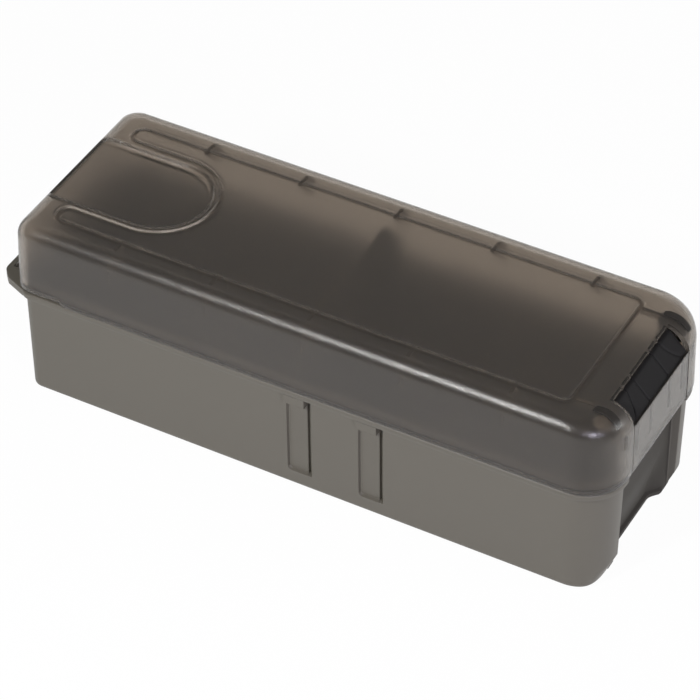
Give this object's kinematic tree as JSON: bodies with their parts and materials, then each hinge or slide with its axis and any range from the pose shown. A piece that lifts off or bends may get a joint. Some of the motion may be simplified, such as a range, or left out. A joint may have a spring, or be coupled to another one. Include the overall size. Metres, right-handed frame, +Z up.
{
  "type": "tackle utility box",
  "caption": "Long tackle utility box with a drafted tray, hinged smoked translucent lid, thumb recess in the roof, pivoting latch flap over a finger recess, and a lift-out divider.",
  "frame": {"origin": "centre of the base's flat underside, at mid-length of the closed lid and mid-width", "axes": "+X along the length towards the latch end, +Y towards the back long wall, +Z up"},
  "size_m": [0.2075, 0.07, 0.0655],
  "materials": {
    "base_tray": "fine spark-eroded satin, warm grey polypropylene",
    "lid": "smoked translucent polypropylene, fine satin grain",
    "latch_flap": "smoked translucent polypropylene, fine satin grain",
    "latch_pin": "grey acetal rod",
    "latch_pin_cap": "grey acetal cap",
    "hinge_pin": "drawn stainless wire",
    "center_divider": "plain moulded sheet"
  },
  "bodies": {
    "base": {"base_tray": "base_tray", "hinge_pin": "hinge_pin", "center_divider": "center_divider"},
    "lid": {"lid": "lid", "latch_pin": "latch_pin", "latch_pin_cap": "latch_pin_cap"},
    "latch": {"latch_flap": "latch_flap"}
  },
  "joints": [
    {"name": "lid_hinge", "type": "hinge", "parent": "base", "child": "lid", "pos_m": [-0.1032, 0, 0.039], "axis": [0, -1, 0], "range_deg": [0, 110]},
    {"name": "latch_pivot", "type": "hinge", "parent": "lid", "child": "latch", "pos_m": [0.092, 0, 0.06], "axis": [0, -1, 0], "range_deg": [0, 60]}
  ]
}
